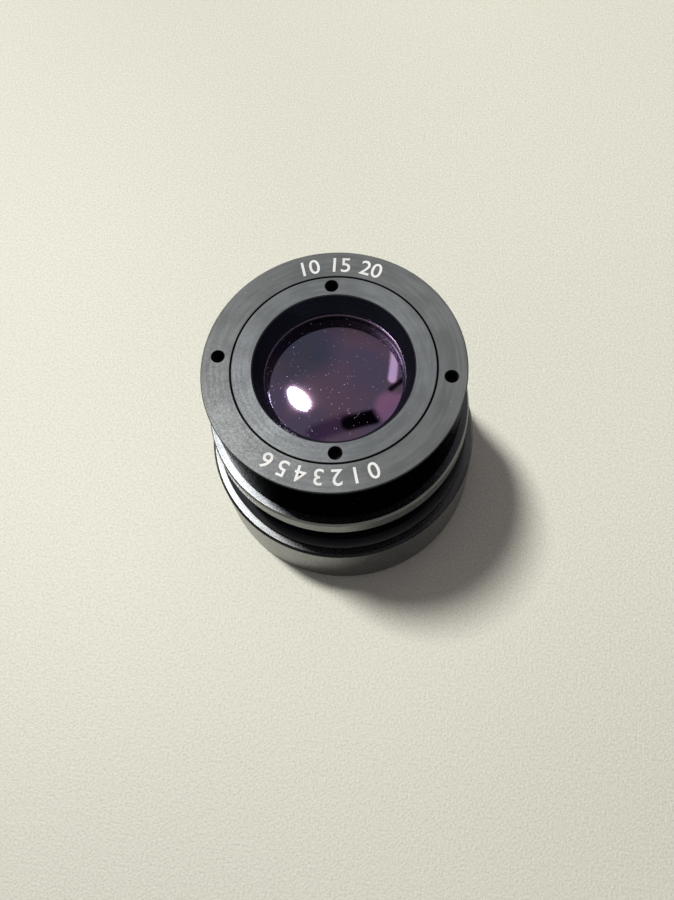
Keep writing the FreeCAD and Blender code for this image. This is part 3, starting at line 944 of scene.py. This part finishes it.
@dataclass
class LensCell:
    """The cell that carries the optics, with its flange, focus thread and spanner holes."""

    flange_height: float = mm(0.8)
    overhang: float = mm(0.75)
    face_edge: float = mm(0.1)
    flange_taper: float = mm(0.225)
    face_sink: float = mm(0.012)
    neck_radius: float = mm(14.82)
    neck_foot: float = mm(19.7)
    pitch: float = mm(0.5)
    thread_depth: float = mm(0.2)
    thread_foot: float = mm(12.9)
    pilot_radius: float = mm(13.6)
    seal_groove: Span = (mm(6.8), mm(8.2))
    seal_groove_radius: float = mm(12.7)
    ring_bore: float = mm(11.7)
    ring_floor: float = mm(25.5)
    pocket_radius: float = mm(10.25)
    seat_height: float = mm(23.5)
    seat_groove: Span = (mm(9.15), mm(10.05))
    seat_groove_depth: float = mm(0.7)
    throat_radius: float = mm(8.6)
    stop_shoulder: float = mm(21.1)
    stack_radius: float = mm(9.65)
    rear_thread_radius: float = mm(10.3)
    rear_thread_top: float = mm(8.0)
    hole_circle: float = mm(13.19)
    hole_radius: float = mm(0.75)
    hole_depth: float = mm(2.0)
    end_edge: float = mm(0.3)
    lead_in: float = mm(0.2)
    neck_edge: float = mm(0.06)
    undercut: float = mm(0.25)
    bore_edge: float = mm(0.05)
    softening: float = mm(0.06)
    extent: Extent = field(default_factory=lambda: Extent.of("lens_cell"))

    def body(self) -> bpy.types.Object:
        """The turned and drilled cell, without the ridge of its thread."""
        out, foot, soft = self.extent.radius, self.extent.foot, self.softening
        face = self.extent.top - self.face_sink
        flange_foot = self.extent.top - self.flange_height
        crest = out - self.overhang
        root = crest - self.thread_depth
        neck = self.neck_radius
        seat_low = self.seat_height - self.seat_groove_depth
        corners = [
            Corner(self.rear_thread_radius + self.lead_in, foot),
            Corner(self.pilot_radius - self.end_edge, foot, soft),
            Corner(self.pilot_radius, foot + self.end_edge, soft),
            Corner(self.pilot_radius, self.seal_groove[0]),
            Corner(self.seal_groove_radius, self.seal_groove[0]),
            Corner(self.seal_groove_radius, self.seal_groove[1]),
            Corner(self.pilot_radius, self.seal_groove[1]),
            Corner(self.pilot_radius, self.thread_foot),
            Corner(root, self.thread_foot + self.end_edge),
            Corner(root, self.neck_foot),
            Corner(neck - self.neck_edge, self.neck_foot),
            Corner(neck, self.neck_foot + self.neck_edge),
            Corner(neck, flange_foot - self.end_edge),
            Corner(neck - self.undercut, flange_foot),
            Corner(out - self.flange_taper, flange_foot),
            Corner(out, face - self.face_edge, soft),
            Corner(out - self.face_edge, face, soft),
            Corner(self.ring_bore + self.bore_edge, face),
            Corner(self.ring_bore, face - self.bore_edge),
            Corner(self.ring_bore, self.ring_floor),
            Corner(self.pocket_radius, self.ring_floor),
            Corner(self.pocket_radius, self.seat_height),
            Corner(self.seat_groove[1], self.seat_height),
            Corner(self.seat_groove[1], seat_low),
            Corner(self.seat_groove[0], seat_low),
            Corner(self.seat_groove[0], self.seat_height),
            Corner(self.throat_radius, self.seat_height),
            Corner(self.throat_radius, self.stop_shoulder),
            Corner(self.stack_radius, self.stop_shoulder),
            Corner(self.stack_radius, self.rear_thread_top),
            Corner(self.rear_thread_radius, self.rear_thread_top),
            Corner(self.rear_thread_radius, foot + self.lead_in),
        ]
        cell = turned("cell_body", rounded(corners), CELL_BLACK)
        rim_foot = face - self.face_edge - self.bore_edge
        # Painted shade: all of the cell below its front face takes the darkened neck finish.
        refinish(cell, SHADED_NECK_BLACK, lambda centre: centre.z < rim_foot)
        holes = (
            Hole(azimuth, self.hole_circle, face, self.hole_radius, self.hole_depth)
            for azimuth in (0, 180)
        )
        return cut_out(cell, map(drill_bit, holes), CutFinish.TOOL)

    def focus_thread(self) -> bpy.types.Object:
        """The ridge of the focus thread, below the neck."""
        span = (self.thread_foot + self.lead_in, self.neck_foot)
        crest = self.extent.radius - self.overhang
        return THREADS.wind("focus_thread", crest, self.pitch, self.thread_depth, span)

    def build(self) -> None:
        """Build and dress the pieces."""
        settle(self.body(), "cell_black", "lens_cell")
        settle(self.focus_thread(), "cell_black")
        Dial(self.extent.top).build()


@dataclass
class Dial:
    """Plain white numbers filled into the front flange, as on a focusing dial."""

    face: float
    circle: float = mm(13.28)
    cap_height: float = mm(1.95)
    font_cap: float = 0.729
    sunk: float = mm(0.03)
    boldness: float = mm(0.02)
    near_centre: float = 270.2
    near_spacing: float = 8.7
    far_centre: float = 93.7
    far_spacing: float = 16.0

    def digit(self, text: str, azimuth: float) -> bpy.types.Object:
        """One number with its foot towards the axis.

        Args:
            text: The number.
            azimuth: Where it stands on the flange, in degrees.

        Returns:
            The number in its place.
        """
        curve = bpy.data.curves.new("digit", "FONT")
        curve.body = text
        curve.size = self.cap_height / self.font_cap
        curve.align_x = "CENTER"
        curve.offset = self.boldness
        curve.extrude = self.sunk / 2
        written = bpy.data.objects.new("digit", curve)
        bpy.context.scene.collection.objects.link(written)
        bpy.context.view_layer.update()
        graph = bpy.context.evaluated_depsgraph_get()
        mesh = bpy.data.meshes.new_from_object(written.evaluated_get(graph))
        bpy.data.objects.remove(written)
        foot = self.circle - self.cap_height / 2
        mesh.transform(Matrix.Translation((0.0, foot, self.face - self.sunk / 2)))
        mesh.transform(Matrix.Rotation(math.radians(azimuth - 90), 4, "Z"))
        piece = bpy.data.objects.new("digit", mesh)
        bpy.context.scene.collection.objects.link(piece)
        return piece

    def build(self) -> None:
        """Write both rows of numbers and join them into one piece."""
        near = [
            (str(number), self.near_centre - self.near_spacing * (number - 3)) for number in range(7)
        ]
        far = [
            (text, self.far_centre - self.far_spacing * place)
            for text, place in (("10", -1), ("15", 0), ("20", 1))
        ]
        shape = bmesh.new()
        for text, azimuth in near + far:
            piece = self.digit(text, azimuth)
            shape.from_mesh(piece.data)
            bpy.data.objects.remove(piece)
        bmesh.ops.remove_doubles(shape, verts=shape.verts, dist=WELD)
        settle(finish_mesh(shape, "dial_numbers", DIAL_WHITE), "cell_black")


@dataclass
class FrontRing:
    """The front retaining ring, with glare grooves in its flared bore and two spanner holes."""

    throat: float = mm(8.15)
    mouth: float = mm(9.16)
    edge: float = mm(0.12)
    gap: float = mm(0.11)
    land: float = mm(0.4)
    groove_pitch: float = mm(0.3)
    groove_depth: float = mm(0.1)
    groove_form: tuple[float, ...] = (0.3, 0.5, 0.95)
    face_sink: float = mm(0.004)
    hole_circle: float = mm(10.405)
    hole_radius: float = mm(0.75)
    hole_depth: float = mm(1.8)
    clocking: float = 98.3
    softening: float = mm(0.04)
    extent: Extent = field(default_factory=lambda: Extent.of("front_retaining_ring"))

    def grooves(self, start: Span, end: Span) -> list[Corner]:
        """Corners of the fine glare grooves down the flared bore.

        Args:
            start: Radius and height of the bore's upper end.
            end: Radius and height of its lower end.

        Returns:
            The corners from the upper end down, without the two ends.
        """
        count = int((start[1] - end[1]) / self.groove_pitch)
        corners = []
        for index in range(count):
            for share, depth in zip(self.groove_form, (0.0, self.groove_depth, 0.0)):
                along = (index + share) / count
                radius = start[0] + (end[0] - start[0]) * along + depth
                corners.append(Corner(radius, start[1] + (end[1] - start[1]) * along))
        return corners

    def build(self) -> None:
        """Build and dress the ring."""
        out, foot, soft = self.extent.radius - self.gap, self.extent.foot, self.softening
        face = self.extent.top - self.face_sink
        upper, lower = (self.mouth, face - self.edge), (self.throat, foot + self.land)
        corners = [
            Corner(self.throat, foot),
            Corner(out - self.edge, foot),
            Corner(out, foot + self.edge),
            Corner(out, face - self.edge / 2),
            Corner(out - self.edge / 2, face),
            Corner(self.mouth + self.edge, face, soft),
            Corner(*upper, soft),
            *self.grooves(upper, lower),
            Corner(*lower),
        ]
        ring = turned("front_ring", rounded(corners), RING_BLACK)
        reach, rim_foot = self.mouth + self.groove_depth, face - self.edge
        refinish(
            ring,
            BORE_BLACK,
            lambda centre: math.hypot(centre.x, centre.y) < reach and centre.z < rim_foot,
        )
        holes = (
            Hole(self.clocking + turn, self.hole_circle, face, self.hole_radius, self.hole_depth)
            for turn in (0, 180)
        )
        cut_out(ring, map(drill_bit, holes), CutFinish.TOOL)
        settle(ring, "ring_black", "front_retaining_ring")


@dataclass
class Optics:
    """The two coated lenses and the ring that holds the rear one."""

    front_curve: float = mm(33.0)
    front_dome: float = mm(8.3)
    front_edge: float = mm(2.2)
    front_dish: float = mm(8.0)
    front_dish_curve: float = mm(30.0)
    rear_curve: float = mm(21.0)
    rear_dome: float = mm(7.9)
    rear_edge: float = mm(2.0)
    rear_dish: float = mm(7.8)
    rear_dish_curve: float = mm(60.0)
    bevel: float = mm(0.15)
    front_steps: int = 96
    rear_steps: int = 64
    dish_steps: int = 24
    ring_softening: float = mm(0.05)
    ring_bore: float = mm(8.0)
    ring_mouth: float = mm(8.8)
    ring_edge: float = mm(0.2)
    slot_width: float = mm(1.4)
    slot_depth: float = mm(1.1)
    slot_length: float = mm(4.0)
    front: Extent = field(default_factory=lambda: Extent.of("front_lens"))
    rear: Extent = field(default_factory=lambda: Extent.of("rear_lens"))
    ring: Extent = field(default_factory=lambda: Extent.of("rear_retaining_ring"))

    def side(self, radius: float, low: float, high: float) -> Outline:
        """The cylindrical side of a lens with its two bevels, from the bottom up."""
        inner = radius - self.bevel
        return [(inner, low), (radius, low + self.bevel), (radius, high - self.bevel), (inner, high)]

    def front_lens(self) -> bpy.types.Object:
        """The front lens, with its dome up."""
        foot = self.front.foot
        rim = foot + self.front_edge
        hollow = foot + sagitta(self.front_dish_curve, self.front_dish)
        under = bulge(self.front_dish_curve, self.front_dish, foot, hollow, self.dish_steps)
        apex = rim + sagitta(self.front_curve, self.front_dome)
        dome = bulge(self.front_curve, self.front_dome, rim, apex, self.front_steps)
        outline = under + self.side(self.front.radius, foot, rim) + dome[::-1]
        return turned("front_optic", outline, FRONT_COATING)

    def rear_lens(self) -> bpy.types.Object:
        """The rear lens, with its dome down."""
        top = self.rear.top
        rim = top - self.rear_edge
        dome = bulge(self.rear_curve, self.rear_dome, rim, self.rear.foot, self.rear_steps)
        hollow = top - sagitta(self.rear_dish_curve, self.rear_dish)
        over = bulge(self.rear_dish_curve, self.rear_dish, top, hollow, self.dish_steps)
        outline = dome + self.side(self.rear.radius, rim, top) + over[::-1]
        return turned("rear_optic", outline, REAR_COATING)

    def rear_ring(self) -> bpy.types.Object:
        """The rear retaining ring with its two spanner slots."""
        out, foot, top, soft = self.ring.radius, self.ring.foot, self.ring.top, self.ring_softening
        corners = [
            Corner(self.ring_mouth, foot, soft),
            Corner(out - self.ring_edge, foot, soft),
            Corner(out, foot + self.ring_edge, soft),
            Corner(out, top - self.ring_edge),
            Corner(out - self.ring_edge, top),
            Corner(self.ring_bore, top),
        ]
        ring = turned("rear_ring", rounded(corners), RING_BLACK)
        return cut_out(ring, (self.slot_bar(side) for side in (1, -1)), CutFinish.PIECE)

    def slot_bar(self, side: int) -> bpy.types.Object:
        """The shape that a spanner slot takes out, on the side of +X or -X."""
        shape = bmesh.new()
        bmesh.ops.create_cube(shape, size=1.0)
        size = Matrix.Diagonal((self.slot_length, self.slot_width, 2 * self.slot_depth, 1.0))
        middle = side * (self.ring_mouth + self.ring.radius) / 2
        shape.transform(Matrix.Translation((middle, 0.0, self.ring.foot)) @ size)
        return finish_mesh(shape, "slot_bar")

    def build(self) -> None:
        """Build and dress the pieces."""
        settle(self.front_lens(), "front_coating", "front_lens")
        settle(self.rear_lens(), "rear_coating", "rear_lens")
        settle(self.rear_ring(), "ring_black", "rear_retaining_ring")


@dataclass
class HiddenStack:
    """The seals, stop, shim and spacers inside, which keep the frame's own meshes."""

    finishes: dict[str, Finish] = field(
        default_factory=lambda: {
            "cell_seal_ring": SEAL_RUBBER,
            "front_lens_seal": SEAL_RUBBER,
            "rear_lens_cushion": SEAL_RUBBER,
            "front_slip_washer": SLIP_FILM,
            "aperture_stop": STOP_BLACK,
            "spacer_tube": STOP_BLACK,
            "spacing_shim": SHIM_BRASS,
            "compensator_ring": ACETAL_WHITE,
        }
    )

    def build(self) -> None:
        """Give each solid its finish."""
        for node, finish in self.finishes.items():
            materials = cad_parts[node].data.materials
            materials.clear()
            materials.append(finish.made())
            log.info("%s: dressed in %s", node, finish.name)


@dataclass(frozen=True)
class Lamp:
    """A soft strip lamp that stretches across the sky between two directions."""

    name: str
    start: tuple[float, float]
    end: tuple[float, float]
    width: float
    distance: float
    power: float
    colour: Colour = (1.0, 1.0, 1.0)

    def build(self, target: Vector) -> None:
        """Hang the lamp so that it faces a point."""
        first, last = sky(*self.start), sky(*self.end)
        middle = (first + last).normalized()
        light = bpy.data.lights.new(self.name, "AREA")
        light.shape = "ELLIPSE"
        light.size = 2 * self.distance * math.tan(first.angle(last) / 2)
        light.size_y = 2 * self.distance * math.tan(math.radians(self.width) / 2)
        light.energy = self.power
        light.color = self.colour
        lamp = bpy.data.objects.new(self.name, light)
        across = (last - first).normalized()
        across = (across - middle * across.dot(middle)).normalized()
        turn = Matrix((across, middle.cross(across), middle)).transposed().to_4x4()
        lamp.matrix_world = Matrix.Translation(target + middle * self.distance) @ turn
        bpy.context.scene.collection.objects.link(lamp)


@dataclass(frozen=True)
class SkyPatch:
    """A stretch of the surroundings, round-ended and soft-edged, with a brightness of its own."""

    start: tuple[float, float]
    end: tuple[float, float]
    inner: float
    outer: float
    level: Colour

    def share(self, graph: Graph, direction: bpy.types.NodeSocket) -> bpy.types.NodeSocket:
        """How much of a direction the patch covers.

        Args:
            graph: The world's graph.
            direction: The direction's socket.

        Returns:
            A number from 0 outside the patch to 1 inside it.
        """
        first, last = sky(*self.start), sky(*self.end)
        line = last - first

        def vector(operation: str, *values: Value) -> bpy.types.Node:
            return graph.add("ShaderNodeVectorMath", dict(enumerate(values)), operation=operation)

        away = vector("SUBTRACT", direction, tuple(first)).outputs[0]
        along = vector("DOT_PRODUCT", away, tuple(line / line.length_squared)).outputs["Value"]
        held = graph.add("ShaderNodeClamp", {"Value": along}).outputs[0]
        nearest = graph.feed(vector("SCALE", tuple(line)), {"Scale": held}).outputs[0]
        off = vector("LENGTH", vector("SUBTRACT", away, nearest).outputs[0]).outputs["Value"]
        return graph.fit(off, (math.radians(self.inner), math.radians(self.outer)), (1.0, 0.0))


@dataclass
class Studio:
    """The table, the lamp, the plain surroundings and the camera."""

    target: Vector = field(default_factory=lambda: Vector((0.0, 0.0, mm(20.0))))
    ceiling: Colour = (0.31, 0.3, 0.32)
    low_wall: Colour = (0.05, 0.05, 0.055)
    wall_top: tuple[float, float] = (25.0, 50.0)
    backdrop: Colour = (0.8, 0.79, 0.72)
    table_half: float = 1.5
    key_lamp: Lamp = Lamp("key_lamp", (145.3, 59.0), (154.0, 72.0), 6.0, 3.0, 77.5)
    patches: tuple[SkyPatch, ...] = (
        SkyPatch((122, 46), (123, 48), 6, 20, (0.17, 0.23, 0.24)),
        SkyPatch((-76, 50), (-72, 66), 8, 20, (0.03, 0.026, 0.04)),
        SkyPatch((-166, 78), (62, 86), 2, 6, (0.14, 0.11, 0.17)),
        SkyPatch((30, 75), (50, 86), 2.5, 4.5, (0.004, 0.003, 0.006)),
        SkyPatch((30, 63), (34, 66), 5, 9, (0.7, 0.46, 0.56)),
        SkyPatch((70, 40), (56, 57), 1.2, 2.4, (1.9, 1.75, 1.9)),
        SkyPatch((51, 48), (50, 61), 0.6, 1.8, (0.01, 0.01, 0.015)),
        SkyPatch((148, 44), (112, 30), 1.2, 2.6, (1.6, 1.1, 1.35)),
    )

    def table(self) -> None:
        """The pale table top."""
        shape = bmesh.new()
        bmesh.ops.create_grid(shape, x_segments=8, y_segments=8, size=self.table_half)
        top = finish_mesh(shape, "table_top", TableTop("table_laminate"))

    def surroundings(self) -> None:
        """A grey ceiling over dark walls, with a few darker or brighter patches."""
        world = bpy.data.worlds.new("room")
        world.use_nodes = True
        bpy.context.scene.world = world
        graph = Graph(world.node_tree)
        graph.tree.nodes.clear()
        direction = graph.add("ShaderNodeTexCoord").outputs["Generated"]
        height = graph.add("ShaderNodeSeparateXYZ", {0: direction}).outputs[2]
        wall_ends = tuple(math.sin(math.radians(angle)) for angle in self.wall_top)
        colour = graph.blend(graph.fit(height, wall_ends), (*self.low_wall, 1.0), (*self.ceiling, 1.0))
        for patch in self.patches:
            colour = graph.blend(patch.share(graph, direction), colour, (*patch.level, 1.0))
        seen = graph.add("ShaderNodeLightPath").outputs["Is Camera Ray"]
        shown = graph.blend(seen, colour, (*self.backdrop, 1.0))
        background = graph.add("ShaderNodeBackground", {"Color": shown})
        graph.add("ShaderNodeOutputWorld", {0: background.outputs[0]})

    def build(self) -> None:
        """Set up everything round the object."""
        self.table()
        self.surroundings()
        self.key_lamp.build(self.target)
        ViewCamera().build()


@dataclass
class ViewCamera:
    """The camera, which looks down on the front face from close by."""

    azimuth: float = 14.25
    elevation: float = 62.81
    roll: float = -7.90
    distance: float = mm(100.85)
    face_height: float = mm(28.6)
    frame_long_side: float = 900.0
    lens: float = 36.0
    sensor: float = 36.0
    clip: Span = (mm(5.0), 20.0)
    face_pixel_across: float = -3.724
    face_pixel_down: float = -83.850

    def build(self) -> None:
        """Place the camera and make it the scene's own."""
        rise, roll = math.radians(self.elevation), math.radians(self.roll)
        back = Vector((0.0, -math.cos(rise), math.sin(rise)))
        up = Vector((0.0, math.sin(rise), math.cos(rise)))
        right = Vector((1.0, 0.0, 0.0))
        across = right * math.cos(roll) + up * math.sin(roll)
        down = right * math.sin(roll) - up * math.cos(roll)
        focal = self.frame_long_side * self.lens / self.sensor
        ray = Vector((self.face_pixel_across, self.face_pixel_down, focal)).normalized()
        aim = Vector((0.0, 0.0, 1.0)).rotation_difference(ray).to_matrix()
        rows = aim @ Matrix((across, down, -back))
        turn = Matrix.Rotation(math.radians(self.azimuth), 3, "Z")
        axes = [turn @ Vector(axis) for axis in (rows[0], -rows[1], -rows[2])]
        place = turn @ (back * self.distance) + Vector((0.0, 0.0, self.face_height))
        data = bpy.data.cameras.new("view_camera")
        data.lens = self.lens
        data.sensor_width = self.sensor
        data.clip_start, data.clip_end = self.clip
        camera = bpy.data.objects.new("view_camera", data)
        camera.matrix_world = Matrix.Translation(place) @ Matrix(axes).transposed().to_4x4()
        bpy.context.scene.collection.objects.link(camera)
        bpy.context.scene.camera = camera


def main() -> None:
    """Build the lens and its studio."""
    logging.basicConfig(level=logging.INFO, format="%(message)s")
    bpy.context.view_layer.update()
    MountBarrel().build()
    LockRing().build()
    LensCell().build()
    FrontRing().build()
    Optics().build()
    HiddenStack().build()
    Studio().build()
    bpy.context.scene.view_settings.view_transform = "Standard"


if __name__ == "__main__":
    main()
